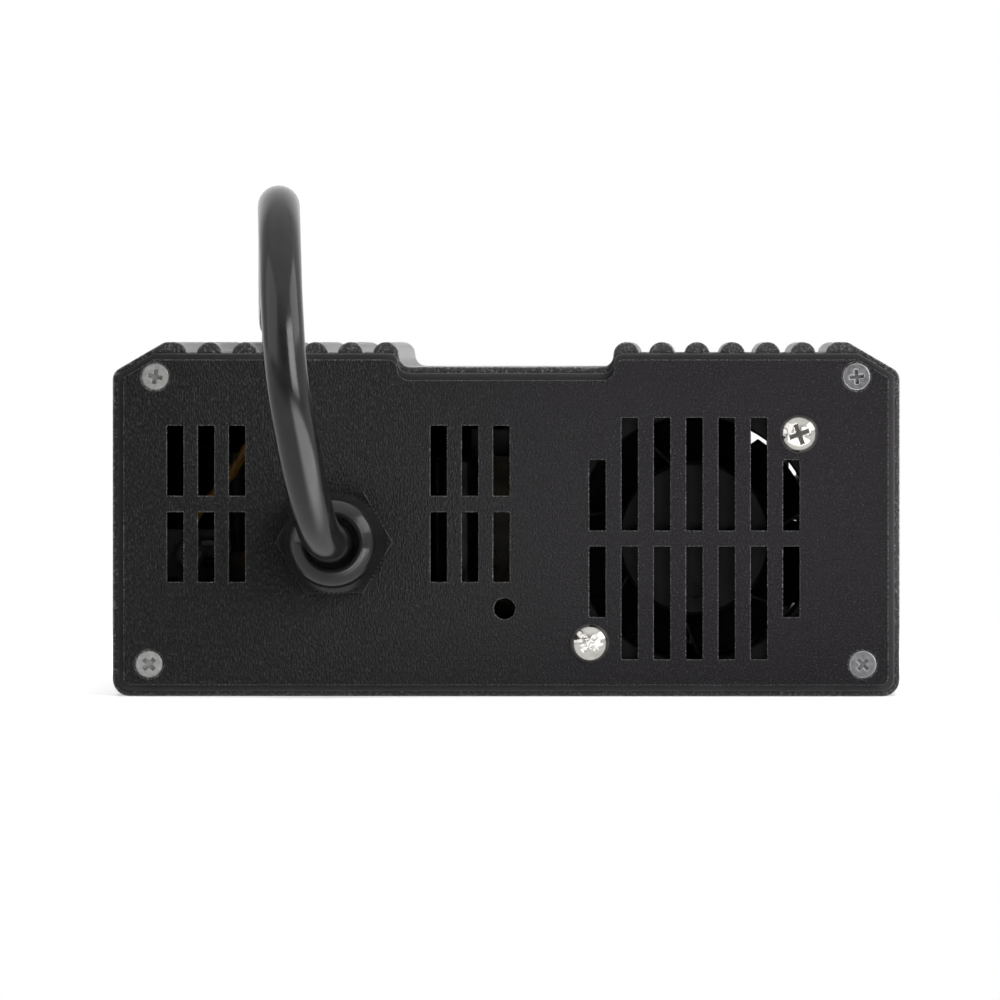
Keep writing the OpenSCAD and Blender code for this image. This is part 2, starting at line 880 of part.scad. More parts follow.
// Square turns of wire round part of a ring core
module core_winding(core, wire, turns, from, to) {
    wide = core[0] - core[1] + 0.3;
    for (n = [0:turns - 1])
        rotate([0, 0, from + (to - from) * n / (turns - 1)])
            translate([(core[0] + core[1]) / 2, 0, core[2] / 2])
                difference() {
                    cube([wide + 2 * wire, wire, core[2] + 2 * wire], center = true);
                    cube([wide, wire + 1, core[2]], center = true);
                }
}

module at_input_choke() {
    translate([choke_at.x, choke_at.y, board_top + choke_wire]) children();
}

module input_choke_core() {
    color("#3c4a44") at_input_choke() core_ring(choke_core);
}

module input_choke_windings() {
    color("#b8672f")
    at_input_choke() {
        core_winding(choke_core, choke_wire, 9, -60, 60);
        core_winding(choke_core, choke_wire, 9, 120, 240);
    }
}

module can_capacitor(d, h) {
    rim = 1.2;
    rotate_extrude($fn = 64)
    polygon(concat(
        [[0, 0], [d / 2 - rim, 0], [d / 2, rim], [d / 2, 3], [d / 2 - 0.8, 3.8], [d / 2, 4.6]],
        arc([d / 2 - rim, h - rim], rim, 0, 90, 3),
        [[d / 2 - 2.4, h - 0.5], [0, h - 0.5]]
    ));
}

module bulk_capacitors() {
    color("#26303d")
    for (y = [16, 50]) translate([-68, y, board_top]) can_capacitor(bulk_cap_d, bulk_cap_h);
}

// Finned plate that stands on the board and runs along Y
module finned_plate(x, from, to, side) {
    color("#8f9294")
    translate([x, from, board_top]) {
        cube([heatsink_t, to - from, heatsink_h]);
        for (z = [4:8:40])
            translate([side > 0 ? heatsink_t - eps : eps - fin_l, 0, z])
                cube([fin_l, to - from, 1.8]);
    }
}

module primary_heatsink() {
    finned_plate(primary_x, -48, 62, -1);
}

module secondary_heatsink() {
    finned_plate(secondary_x, -60, 62, 1);
}

// A power transistor that lies flat against a heatsink's face
module flat_transistor(x, y) {
    translate([x, y, board_top + 6]) difference() {
        cube([transistor_t, 16, 20]);
        translate([-1, 8, 16]) rotate([0, 90, 0]) cylinder(r = 1.8, h = transistor_t + 2);
    }
}

module primary_transistors() {
    color("#202022") for (y = [-40, -12, 16, 40]) flat_transistor(primary_x + heatsink_t, y);
}

module output_rectifiers() {
    color("#202022") for (y = [-50, -24, 2, 28]) flat_transistor(secondary_x - transistor_t, y);
}

module transformer_core() {
    color("#35363a")
    translate([transformer_at.x, transformer_at.y, board_top]) difference() {
        box([-20, -13, 4], [20, 13, 50]);
        box([-15, -14, 10], [-7, 14, 44]);
        box([7, -14, 10], [15, 14, 44]);
    }
}

module transformer_winding() {
    color("#b99a3c")
    translate([transformer_at.x, transformer_at.y, board_top]) {
        difference() {
            box([-14.6, -21, 10.4], [14.6, 21, 43.6]);
            box([-7, -13, 9], [7, 13, 45]);
        }
        for (y = [-19, 11]) box([-15, y, 0], [15, y + 8, 4]);
        for (y = [-19, 17]) box([-13, y, 3.9], [13, y + 2, 10.5]);
    }
}

module control_board() {
    color("#2f5d3a")
    difference() {
        union() {
            box([-16, 8, board_top], [-14.4, 62, board_top + 34]);
            box([-14.5, 20, board_top + 12], [-12.4, 34, board_top + 22]);
            box([-14.5, 42, board_top + 8], [-12.9, 50, board_top + 14]);
        }
        translate([-20, 14, board_top + 28]) rotate([0, 90, 0]) cylinder(r = 1.6, h = 10);
    }
}

module output_relay() {
    color("#2b3f63") box([-6, 70, board_top], [10, 98, board_top + 22]);
}

module at_output_inductor() {
    translate([inductor_at.x, inductor_at.y, board_top + inductor_wire]) children();
}

module output_inductor_core() {
    color("#b9ad3e") at_output_inductor() core_ring(inductor_core);
}

module output_inductor_winding() {
    color("#b8672f") at_output_inductor() core_winding(inductor_core, inductor_wire, 14, 20, 340);
}

module output_capacitors() {
    color("#262a30")
    for (x = [20, 41], y = [14, 36, 58]) translate([x, y, board_top]) can_capacitor(18, 32);
}

module live_wire() {
    color("#6b4226") tube(live_route, wire_r, 8, [1, 0, 0]);
}

module neutral_wire() {
    color("#2d4d8a") tube(neutral_route, wire_r, 8, [1, 0, 0]);
}

module earth_wire() {
    color("#b98a1e") tube(earth_route, wire_r, 8, [1, 1, 0.1]);
}

module output_wires() {
    color("#7a1f1c") tube(plus_route, 2.4, 8, [1, 0, 0]);
    color("#1b1b1d") tube(minus_route, 2.4, 8, [1, 0, 0]);
}

module fan_lead() {
    color("#7a1f1c") tube(fan_route, 1.1, 8, [1, 0, 0]);
}

module status_leds() {
    color("#bfe3c2")
    rotate([0, 0, 180])
    for (x = led_x)
        translate([x, -end_y - 1.6, led_z]) rotate([-90, 0, 0]) {
            cylinder(r = led_r, h = plate_t + 6);
            sphere(led_r);
        }
}

housing_shell();
input_plate();
output_plate();
input_gasket();
output_gasket();
input_plate_screws();
output_plate_screws();
fan_frame();
fan_rotor();
fan_stator();
fan_screws();
fan_nuts();
mains_gland_body();
mains_gland_cap();
mains_gland_seal();
mains_gland_locknut();
output_gland_body();
output_gland_cap();
output_gland_seal();
output_gland_locknut();
mains_cord();
cord_coil();
cord_tail();
cord_tie();
mains_plug();
plug_pins();
plug_earth_clips();
circuit_board();
insulation_sheet();
terminal_block();
earth_stud();
earth_clamp();
ring_terminal();
input_fuse();
filter_capacitor();
noise_capacitor();
input_choke_core();
input_choke_windings();
bulk_capacitors();
primary_heatsink();
primary_transistors();
transformer_core();
transformer_winding();
control_board();
output_relay();
output_inductor_core();
output_inductor_winding();
secondary_heatsink();
output_rectifiers();
output_capacitors();
live_wire();
neutral_wire();
earth_wire();
output_wires();
fan_lead();
status_leds();
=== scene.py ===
"""Looks of a lithium battery charger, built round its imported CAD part.

Lengths are in metres, in the part's own frame: the mains end faces -Y and the ribs point up.
"""

import json
import math

import bpy
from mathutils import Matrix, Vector


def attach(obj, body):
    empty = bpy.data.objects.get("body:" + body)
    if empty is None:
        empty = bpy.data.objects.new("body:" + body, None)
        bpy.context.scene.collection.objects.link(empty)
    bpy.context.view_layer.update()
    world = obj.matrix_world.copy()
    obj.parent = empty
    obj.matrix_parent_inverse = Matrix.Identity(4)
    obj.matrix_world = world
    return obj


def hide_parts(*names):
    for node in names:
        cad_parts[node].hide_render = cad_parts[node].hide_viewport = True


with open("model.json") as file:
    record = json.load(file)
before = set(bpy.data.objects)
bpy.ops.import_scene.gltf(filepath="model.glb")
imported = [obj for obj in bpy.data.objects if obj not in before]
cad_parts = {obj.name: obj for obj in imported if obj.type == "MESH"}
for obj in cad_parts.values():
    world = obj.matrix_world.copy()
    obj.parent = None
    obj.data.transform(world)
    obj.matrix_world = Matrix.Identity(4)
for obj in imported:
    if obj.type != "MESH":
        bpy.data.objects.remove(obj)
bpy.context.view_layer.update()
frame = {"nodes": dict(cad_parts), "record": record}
nodes = frame["nodes"]
scene = bpy.context.scene
scene.view_settings.view_transform = "Standard"

WHITE = (1, 1, 1, 1)

# Camera: a long lens at the height of the case's top, just right of its middle, aimed slightly down

CAMERA_AT = (0.044, -3.61, 0.0841)
CAMERA_PITCH = 89.393
CAMERA_YAW = 0.743
CAMERA_LENS = 526.88
SENSOR_WIDTH = 36.0
CLIP_NEAR = 0.1
CLIP_FAR = 60.0

camera_data = bpy.data.cameras.new("camera")
camera = bpy.data.objects.new("camera", camera_data)
scene.collection.objects.link(camera)
scene.camera = camera
camera_data.lens = CAMERA_LENS
camera_data.sensor_width = SENSOR_WIDTH
camera_data.clip_start = CLIP_NEAR
camera_data.clip_end = CLIP_FAR
camera.location = CAMERA_AT
camera.rotation_euler = (math.radians(CAMERA_PITCH), 0, math.radians(CAMERA_YAW))

# Mains lead: out of the gland, up in a loop, back over the left ribs, down behind the case into a
# coil, and from its top out to the plug

CORD_R = 0.005
CORD_SIDES = 10
CORD_STEPS = 6

COIL_AT = (-0.033, 0.227)
COIL_R = 0.055
COIL_LOW = 0.0064
COIL_PITCH = 0.0102
COIL_TURNS = 2.292
COIL_START = 195.0
COIL_STEPS = 40

route_to_coil = [
    (-0.041, -0.106, 0.037), (-0.041, -0.131, 0.037), (-0.0419, -0.1419, 0.0376),
    (-0.0436, -0.1503, 0.040), (-0.0458, -0.1633, 0.0487), (-0.0482, -0.172, 0.0617),
    (-0.0506, -0.175, 0.077), (-0.0518, -0.172, 0.0923), (-0.0525, -0.1633, 0.1053),
    (-0.0531, -0.1503, 0.114), (-0.0536, -0.135, 0.117), (-0.0539, -0.1213, 0.1146),
    (-0.0542, -0.1093, 0.1076), (-0.0545, -0.0994, 0.0993), (-0.0548, -0.0874, 0.0924),
    (-0.0551, -0.0737, 0.0899), (-0.0555, -0.050, 0.0899), (-0.0561, -0.025, 0.0899),
    (-0.0568, 0, 0.0899), (-0.0575, 0.025, 0.0899), (-0.0582, 0.050, 0.0899),
    (-0.059, 0.080, 0.0899), (-0.060, 0.115, 0.0899), (-0.0604, 0.1303, 0.0869),
    (-0.0608, 0.1433, 0.0782), (-0.0613, 0.152, 0.0652), (-0.062, 0.1553, 0.0478),
    (-0.0638, 0.1585, 0.030), (-0.0678, 0.1663, 0.0168), (-0.0743, 0.179, 0.0081),
    (-0.0803, 0.1936, 0.0052),
]
route_to_plug = [
    (-0.022, 0.282, 0.0295), (-0.012, 0.282, 0.0276), (-0.004, 0.282, 0.0244),
    (0.004, 0.282, 0.0211), (0.010, 0.282, 0.0195), (0.016, 0.282, 0.0187),
    (0.022, 0.282, 0.0186),
]


def coil_point(share):
    """A point of the coil, from 0 at its lowest end to 1 at its highest."""
    turn = math.radians(COIL_START - 360 * COIL_TURNS * share)
    return (
        COIL_AT[0] + COIL_R * math.cos(turn),
        COIL_AT[1] + COIL_R * math.sin(turn),
        COIL_LOW + COIL_PITCH * COIL_TURNS * share,
    )


def round_curve(name, points, radius):
    """A round tube whose centreline runs smoothly through the points."""
    data = bpy.data.curves.new(name, "CURVE")
    data.dimensions = "3D"
    data.bevel_depth = 1.0  # times each point's radius, which is also what its box grows by
    data.bevel_resolution = CORD_SIDES
    data.use_fill_caps = True
    spline = data.splines.new("BEZIER")
    spline.bezier_points.add(len(points) - 1)
    spline.resolution_u = CORD_STEPS
    for knot, point in zip(spline.bezier_points, points):
        knot.co = point
        knot.radius = radius
        knot.handle_left_type = knot.handle_right_type = "AUTO"
    made = bpy.data.objects.new(name, data)
    scene.collection.objects.link(made)
    return made


coil_points = [coil_point(step / COIL_STEPS) for step in range(COIL_STEPS + 1)]
lead = round_curve("mains_lead", route_to_coil + coil_points + route_to_plug, CORD_R)
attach(lead, "case")
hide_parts("mains_cord", "cord_coil", "cord_tail")


# Materials. Each one is a small graph on object coordinates, which are metres in the part's frame.

# Sockets of a colour Mix node, which share their names with those of its other data types
MIX_SHARE, MIX_FIRST, MIX_SECOND, MIX_RESULT = 0, 6, 7, 2
BEVEL_SAMPLES = 4
# How far a rounded normal leans from the true one, as a cosine, where the painted edge highlight
# starts and is full
HIGHLIGHT_STARTS, HIGHLIGHT_FULL = 0.99, 0.86
# The part of a noise's 0 to 1 that most of its values are in
NOISE_LOW, NOISE_HIGH = 0.3, 0.7


class Graph:
    """A material's node graph, with short ways to add what the materials here use."""

    def __init__(self, name):
        self.material = bpy.data.materials.new(name)
        self.material.use_nodes = True
        self.tree = self.material.node_tree
        self.shader = self.tree.nodes["Principled BSDF"]
        self.place = self.add("ShaderNodeTexCoord").outputs["Object"]

    def add(self, kind, **settings):
        node = self.tree.nodes.new(kind)
        for key, value in settings.items():
            setattr(node, key, value)
        return node

    def link(self, source, socket):
        self.tree.links.new(source, socket)

    def stretched(self, scale):
        """Coordinates stretched by scale along each axis."""
        node = self.add("ShaderNodeMapping")
        node.inputs["Scale"].default_value = scale
        self.link(self.place, node.inputs["Vector"])
        return node.outputs["Vector"]

    def noise(self, scale, detail=2.0, rough=0.5, distort=0.0, place=None):
        node = self.add("ShaderNodeTexNoise")
        node.inputs["Scale"].default_value = scale
        node.inputs["Detail"].default_value = detail
        node.inputs["Roughness"].default_value = rough
        node.inputs["Distortion"].default_value = distort
        self.link(place or self.place, node.inputs["Vector"])
        return node.outputs["Fac"]

    def wave(self, scale, axis, distort=0.0, profile="SIN"):
        node = self.add("ShaderNodeTexWave", bands_direction=axis, wave_profile=profile)
        node.inputs["Scale"].default_value = scale
        node.inputs["Distortion"].default_value = distort
        self.link(self.place, node.inputs["Vector"])
        return node.outputs["Fac"]

    def across(self, left, right):
        """0 at x = left and further left, and 1 at x = right and further right."""
        node = self.add("ShaderNodeSeparateXYZ")
        self.link(self.place, node.inputs[0])
        return self.spread(node.outputs["X"], left, right)

    def spread(self, value, low, high, to_low=0.0, to_high=1.0):
        """A value's range low to high, mapped to to_low and to_high."""
        node = self.add("ShaderNodeMapRange")
        for key, number in (("From Min", low), ("From Max", high),
                            ("To Min", to_low), ("To Max", to_high)):
            node.inputs[key].default_value = number
        self.link(value, node.inputs["Value"])
        return node.outputs["Result"]

    def varied(self, value, to_low, to_high):
        """A noise, spread over to_low to to_high."""
        return self.spread(value, NOISE_LOW, NOISE_HIGH, to_low, to_high)

    def ramp(self, value, *stops):
        """Colours along a value; each stop is a position and a colour."""
        node = self.add("ShaderNodeValToRGB")
        band = node.color_ramp.elements
        while len(band) < len(stops):
            band.new(0.5)
        for element, (at, colour) in zip(band, stops):
            element.position = at
            element.color = colour + (1,)
        self.link(value, node.inputs["Fac"])
        return node.outputs["Color"]

    def mix(self, share, first, second):
        """Two colours or values, mixed; each input is a socket, a number or a colour."""
        node = self.add("ShaderNodeMix", data_type="RGBA", blend_type="MIX")
        for key, value in ((MIX_SHARE, share), (MIX_FIRST, first), (MIX_SECOND, second)):
            if isinstance(value, (int, float)):
                node.inputs[key].default_value = value
            elif isinstance(value, tuple):
                node.inputs[key].default_value = value + (1,)
            else:
                self.link(value, node.inputs[key])
        return node.outputs[MIX_RESULT]

    def bump(self, height, depth, strength=1.0, under=None):
        """A normal from a height, on top of the normal under it."""
        node = self.add("ShaderNodeBump")
        node.inputs["Distance"].default_value = depth
        node.inputs["Strength"].default_value = strength
        self.link(height, node.inputs["Height"])
        if under is not None:
            self.link(under, node.inputs["Normal"])
        return node.outputs["Normal"]

    def soft_edge(self, radius):
        """A normal that is rounded along sharp edges."""
        node = self.add("ShaderNodeBevel", samples=BEVEL_SAMPLES)
        node.inputs["Radius"].default_value = radius
        return node.outputs["Normal"]

    def painted_highlight_mask(self, rounded):
        """1 on sharp edges and 0 on open faces, from a rounded normal: the mask of the painted edge
        highlights.
        """
        straight = self.add("ShaderNodeNewGeometry").outputs["Normal"]
        node = self.add("ShaderNodeVectorMath", operation="DOT_PRODUCT")
        self.link(rounded, node.inputs[0])
        self.link(straight, node.inputs[1])
        return self.spread(node.outputs["Value"], HIGHLIGHT_STARTS, HIGHLIGHT_FULL)

    def finish(self, colour, rough, normal, **numbers):
        """Link the shader's inputs, set its plain numbers and return the material."""
        for key, source in (("Base Color", colour), ("Roughness", rough), ("Normal", normal)):
            self.link(source, self.shader.inputs[key])
        for key, number in numbers.items():
            self.shader.inputs[key.replace("_", " ")].default_value = number
        return self.material


def plain(name, dark, light, patch, rough, grain, depth, metal=0.0, coat=0.0, edge=0.0, spec=0.5):
    """A surface whose colour and roughness vary in patches and whose grain is a fine bump.

    patch and grain are noise scales, depth is the bump's height and edge the radius of soft edges.
    """
    g = Graph(name)
    patches = g.noise(patch, 3, 0.6)
    colour = g.ramp(patches, (NOISE_LOW, dark), (NOISE_HIGH, light))
    roughness = g.varied(g.noise(patch * 1.7), *rough)
    under = g.soft_edge(edge) if edge else None
    normal = g.bump(g.noise(grain, 2, 0.6), depth, 0.6, under)
    return g.finish(colour, roughness, normal, Metallic=metal, Coat_Weight=coat,
                    Coat_Roughness=0.12, Specular_IOR_Level=spec)


def case_powder():
    """Fine textured powder, with a speckled painted highlight along its sharp edges."""
    g = Graph("case_powder")
    grains = g.noise(1900, 2, 0.55)
    flecks = g.noise(1700)
    rounded = g.soft_edge(0.0006)
    colour = g.ramp(grains, (0.4, (0.004, 0.004, 0.0044)), (0.56, (0.015, 0.0143, 0.0157)),
                    (0.7, (0.12, 0.115, 0.125)))
    # Speckled pale tone for the painted highlight on the sharp edges
    bright = g.ramp(flecks, (0.42, (0.006, 0.006, 0.0065)), (0.58, (0.42, 0.42, 0.42)))
    colour = g.mix(g.painted_highlight_mask(rounded), colour, bright)
    rough = g.varied(grains, 0.34, 0.54)
    normal = g.bump(grains, 0.0003, 0.9, rounded)
    return g.finish(colour, rough, normal, Sheen_Weight=0.9, Sheen_Roughness=0.35)


def plate_powder():
    """Wrinkled powder: upright wrinkles at the left, fine and slightly purple at the right."""
    g = Graph("plate_powder")
    side = g.across(-0.05, 0.045)
    wrinkles = g.noise(1, 1.5, 0.5, 0.4, g.stretched((2500, 2500, 1050)))
    fine = g.noise(2300, 2, 0.5, 0.3)
    flecks = g.noise(2500, 1)
    cloud = g.noise(55, 3)
    height = g.mix(side, wrinkles, fine)
    left = g.ramp(wrinkles, (0.36, (0.0006, 0.0006, 0.0007)), (0.54, (0.0042, 0.004, 0.0043)),
                  (0.68, (0.024, 0.0232, 0.0244)))
    right = g.ramp(fine, (0.38, (0.0014, 0.0006, 0.0016)), (0.54, (0.0046, 0.0028, 0.005)),
                   (0.68, (0.029, 0.023, 0.0297)))
    colour = g.mix(side, left, right)
    colour = g.mix(g.spread(flecks, 0.69, 0.78), colour, (0.11, 0.108, 0.11))
    colour = g.mix(g.varied(cloud, 0.0, 0.22), colour, (0.006, 0.006, 0.0065))
    rounded = g.soft_edge(0.0005)
    # Speckled painted highlight, mixed onto the plate's sharp edges
    bright = g.ramp(flecks, (0.42, (0.02, 0.02, 0.0205)), (0.64, (0.27, 0.27, 0.27)))
    colour = g.mix(g.painted_highlight_mask(rounded), colour, bright)
    rough = g.varied(height, 0.34, 0.52)
    normal = g.bump(height, 0.00044, 1.0, rounded)
    return g.finish(colour, rough, normal, Specular_IOR_Level=0.19)


def gasket_rubber():
    """Smooth dark rubber, with a painted highlight along its edges that is left dark on the left.
    """
    g = Graph("gasket_rubber")
    cloud = g.noise(120, 3, 0.6)
    rounded = g.soft_edge(0.0005)
    dark = g.ramp(cloud, (NOISE_LOW, (0.007, 0.0065, 0.0073)),
                  (NOISE_HIGH, (0.0125, 0.0115, 0.013)))
    # Painted highlight tone for the edges: dark at the left, pale further right
    pale = g.mix(g.across(-0.092, -0.075), (0.012, 0.012, 0.0125), (0.105, 0.103, 0.107))
    rough = g.varied(g.noise(210), 0.5, 0.64)
    normal = g.bump(g.noise(1400, 2, 0.6), 0.00004, 0.6, rounded)
    return g.finish(g.mix(g.painted_highlight_mask(rounded), dark, pale), rough, normal)


def zinc_steel():
    """Satin zinc with painted light: a lit pale tone at the left, and a shaded dark tone at the
    right with painted highlights on its edges.
    """
    g = Graph("zinc_steel")
    # Painted light and shade: screws at the left get a lit tone, those at the right a shaded one
    side = g.across(-0.03, 0.03)
    cloud = g.noise(900, 3, 0.6)
    rounded = g.soft_edge(0.0004)
    pale = g.ramp(cloud, (NOISE_LOW, (0.3, 0.3, 0.29)), (NOISE_HIGH, (0.44, 0.44, 0.43)))
    dark = g.ramp(cloud, (NOISE_LOW, (0.09, 0.09, 0.095)), (NOISE_HIGH, (0.19, 0.19, 0.2)))
    # Painted highlight on the shaded screws' sharp edges
    dark = g.mix(g.painted_highlight_mask(rounded), dark, (0.85, 0.84, 0.82))
    rough = g.varied(g.noise(1600), 0.34, 0.5)
    normal = g.bump(g.noise(2600), 0.00004, 0.5, rounded)
    return g.finish(g.mix(side, pale, dark), rough, normal, Metallic=0.55)


def lead_pvc():
    """Semi-gloss black sheath, slightly uneven along its length."""
    g = Graph("lead_pvc")
    cloud = g.noise(160, 4, 0.6)
    colour = g.ramp(cloud, (NOISE_LOW, (0.008, 0.0078, 0.0085)),
                    (NOISE_HIGH, (0.013, 0.0125, 0.0138)))
    rough = g.varied(g.noise(420, 3, 0.6), 0.14, 0.22)
    fine = g.bump(g.noise(3000), 0.00002, 0.5)
    normal = g.bump(g.noise(90), 0.00015, 0.3, fine)
    return g.finish(colour, rough, normal)


def yellow_green_wire():
    """Yellow insulation in faint patches, darkened to brown as painted shade inside the case."""
    g = Graph("yellow_green_wire")
    cloud = g.noise(320, 3, 0.6)
    colour = g.ramp(cloud, (NOISE_LOW, (0.2, 0.1, 0.009)), (NOISE_HIGH, (0.32, 0.17, 0.016)))
    rough = g.varied(g.noise(500), 0.3, 0.45)
    return g.finish(colour, rough, g.bump(g.noise(2200), 0.00003, 0.5))


def enamelled_copper():
    """Enamelled wire with its strands showing as fine ridges."""
    g = Graph("enamelled_copper")
    strand = g.wave(240, "Z", 0.6)
    colour = g.ramp(strand, (0.2, (0.3, 0.11, 0.04)), (0.8, (0.72, 0.34, 0.14)))
    rough = g.varied(g.noise(600), 0.22, 0.4)
    return g.finish(colour, rough, g.bump(strand, 0.0002, 0.7), Metallic=0.75, Coat_Weight=0.4)


def yellow_tape():
    """Yellow film tape in overlapping turns, darkened as painted shade inside the case."""
    g = Graph("yellow_tape")
    lap = g.wave(55, "Z", 0.5, profile="SAW")
    # Colours far darker than the tape's own, as painted shade
    colour = g.ramp(lap, (0.1, (0.026, 0.016, 0.003)), (0.6, (0.045, 0.029, 0.006)),
                    (0.95, (0.03, 0.019, 0.0035)))
    rough = g.varied(g.noise(300, 3, 0.6), 0.18, 0.4)
    return g.finish(colour, rough, g.bump(lap, 0.00025, 0.7), Specular_IOR_Level=0.15)


def board_green():
    """Green resist over faint tracks."""
    g = Graph("board_green")
    across = g.wave(70, "X", 2.5)
    along = g.wave(55, "Y", 3.0)
    tracks = g.mix(0.5, across, along)
    colour = g.ramp(tracks, (0.4, (0.012, 0.07, 0.03)), (0.52, (0.03, 0.15, 0.06)),
                    (0.85, (0.045, 0.19, 0.08)))
    rough = g.varied(g.noise(500), 0.25, 0.42)
    return g.finish(colour, rough, g.bump(tracks, 0.00006, 0.6))


def tie_fabric():
    """Dark woven tape."""
    g = Graph("tie_fabric")
    warp = g.wave(260, "X", 0.3)
    weft = g.wave(260, "Z", 0.3)
    weave = g.mix(0.5, warp, weft)
    colour = g.ramp(weave, (0.3, (0.012, 0.012, 0.013)), (0.8, (0.05, 0.05, 0.054)))
    rough = g.varied(g.noise(700), 0.75, 0.95)
    return g.finish(colour, rough, g.bump(weave, 0.0003, 0.8), Sheen_Weight=0.3)


PLAIN = {
    "nickel_steel": dict(
        dark=(0.6, 0.58, 0.54), light=(0.82, 0.8, 0.76), patch=260, rough=(0.06, 0.13),
        grain=1800, depth=0.00002, metal=1, edge=0.0003),
    # Painted shade: near black, darker than the fan's own black plastic, for the shade behind the
    # front plate
    "fan_plastic": dict(
        dark=(0.0018, 0.0018, 0.002), light=(0.0036, 0.0036, 0.004), patch=150,
        rough=(0.46, 0.6), grain=1700, depth=0.00004, edge=0.0004, spec=0.08),
    "black_nylon": dict(
        dark=(0.006, 0.006, 0.0063), light=(0.01, 0.01, 0.0105), patch=140, rough=(0.1, 0.18),
        grain=900, depth=0.00003, edge=0.0003),
    "seal_rubber": dict(
        dark=(0.008, 0.008, 0.008), light=(0.014, 0.014, 0.014), patch=200, rough=(0.6, 0.75),
        grain=1500, depth=0.00004),
    "plug_nickel": dict(
        dark=(0.58, 0.52, 0.4), light=(0.76, 0.7, 0.57), patch=220, rough=(0.2, 0.34),
        grain=1500, depth=0.00002, metal=1, edge=0.0002),
    "insulating_film": dict(
        dark=(0.6, 0.57, 0.46), light=(0.74, 0.71, 0.6), patch=60, rough=(0.4, 0.55),
        grain=900, depth=0.00004),
    # Painted shade: the steel bracket and tinned terminals are painted near black for the shade
    # inside the case
    "bracket_steel": dict(
        dark=(0.045, 0.045, 0.047), light=(0.1, 0.1, 0.105), patch=240, rough=(0.2, 0.32),
        grain=1300, depth=0.00003, metal=0.95, edge=0.0002),
    "terminal_tin": dict(
        dark=(0.025, 0.022, 0.017), light=(0.06, 0.052, 0.04), patch=260, rough=(0.2, 0.32),
        grain=1300, depth=0.00003, metal=0.95, edge=0.0002),
    "fuse_body": dict(
        dark=(0.55, 0.54, 0.49), light=(0.7, 0.69, 0.64), patch=160, rough=(0.2, 0.32),
        grain=900, depth=0.00003, coat=0.3, edge=0.0004),
    "film_capacitor": dict(
        dark=(0.07, 0.04, 0.012), light=(0.12, 0.07, 0.02), patch=140, rough=(0.25, 0.4),
        grain=900, depth=0.00004, coat=0.2, edge=0.0006),
    "ferrite": dict(
        dark=(0.035, 0.036, 0.04), light=(0.075, 0.077, 0.084), patch=220, rough=(0.45, 0.62),
        grain=1500, depth=0.00006, metal=0.1, edge=0.0005),
    "powder_core": dict(
        dark=(0.36, 0.31, 0.06), light=(0.55, 0.49, 0.12), patch=200, rough=(0.35, 0.5),
        grain=1200, depth=0.00005, coat=0.2, edge=0.0006),
    "capacitor_sleeve": dict(
        dark=(0.006, 0.007, 0.01), light=(0.013, 0.015, 0.02), patch=120, rough=(0.16, 0.26),
        grain=900, depth=0.00003, coat=0.3, edge=0.0003),
    "bare_aluminium": dict(
        dark=(0.48, 0.49, 0.5), light=(0.66, 0.67, 0.69), patch=200, rough=(0.3, 0.46),
        grain=1500, depth=0.00004, metal=0.95, edge=0.0003),
    "black_epoxy": dict(
        dark=(0.014, 0.014, 0.015), light=(0.028, 0.028, 0.029), patch=300, rough=(0.42, 0.58),
        grain=1600, depth=0.00005, edge=0.0003),
    "relay_case": dict(
        dark=(0.03, 0.06, 0.2), light=(0.05, 0.1, 0.3), patch=130, rough=(0.2, 0.34),
        grain=900, depth=0.00003, coat=0.2, edge=0.0006),
    "brown_wire": dict(
        dark=(0.1, 0.045, 0.02), light=(0.18, 0.085, 0.04), patch=260, rough=(0.26, 0.4),
        grain=1300, depth=0.00003),
    "blue_wire": dict(
        dark=(0.02, 0.07, 0.26), light=(0.04, 0.12, 0.4), patch=260, rough=(0.26, 0.4),
        grain=1300, depth=0.00003),
    "red_wire": dict(
        dark=(0.22, 0.018, 0.014), light=(0.38, 0.035, 0.025), patch=260, rough=(0.26, 0.4),
        grain=1300, depth=0.00003),
    "led_lens": dict(
        dark=(0.5, 0.66, 0.52), light=(0.66, 0.8, 0.68), patch=300, rough=(0.1, 0.2),
        grain=900, depth=0.00002, coat=0.5),
}

materials = {name: plain(name, **looks) for name, looks in PLAIN.items()}
for make in (case_powder, plate_powder, gasket_rubber, zinc_steel, lead_pvc, yellow_green_wire,
             enamelled_copper, yellow_tape, board_green, tie_fabric):
    materials[make.__name__] = make()

for sub in frame["record"]["subparts"]:
    shape = nodes[sub["node"]]
    shape.data.materials.clear()
    shape.data.materials.append(materials[sub["material_slot"]])
lead.data.materials.append(materials["lead_pvc"])


# Stage: a pale floor, a white background and soft lamps

def joined(tree, how, first, second):
    """Two values, joined by a Math node's operation."""
    node = tree.nodes.new("ShaderNodeMath")
    node.operation = how
    tree.links.new(first, node.inputs[0])
    tree.links.new(second, node.inputs[1])
    return node.outputs[0]


def ray_share(tree, *names):
    """1 for rays of the named kinds."""
    path = tree.nodes.new("ShaderNodeLightPath")
    total = path.outputs[names[0]]
    for name in names[1:]:
        total = joined(tree, "MAXIMUM", total, path.outputs[name])
    return total


def ramped(tree, value, low, high, to_low, to_high):
    """A value that goes smoothly from to_low at low to to_high at high."""
    node = tree.nodes.new("ShaderNodeMapRange")
    node.interpolation_type = "SMOOTHSTEP"
    for key, number in (("From Min", low), ("From Max", high), ("To Min", to_low),
                        ("To Max", to_high)):
        node.inputs[key].default_value = number
    tree.links.new(value, node.inputs["Value"])
    return node.outputs["Result"]


def chosen(tree, share, first, second):
    """A shader that is the first where the share is 0 and the second where it is 1."""
    node = tree.nodes.new("ShaderNodeMixShader")
    tree.links.new(share, node.inputs[0])
    tree.links.new(first, node.inputs[1])
    tree.links.new(second, node.inputs[2])
    return node.outputs[0]


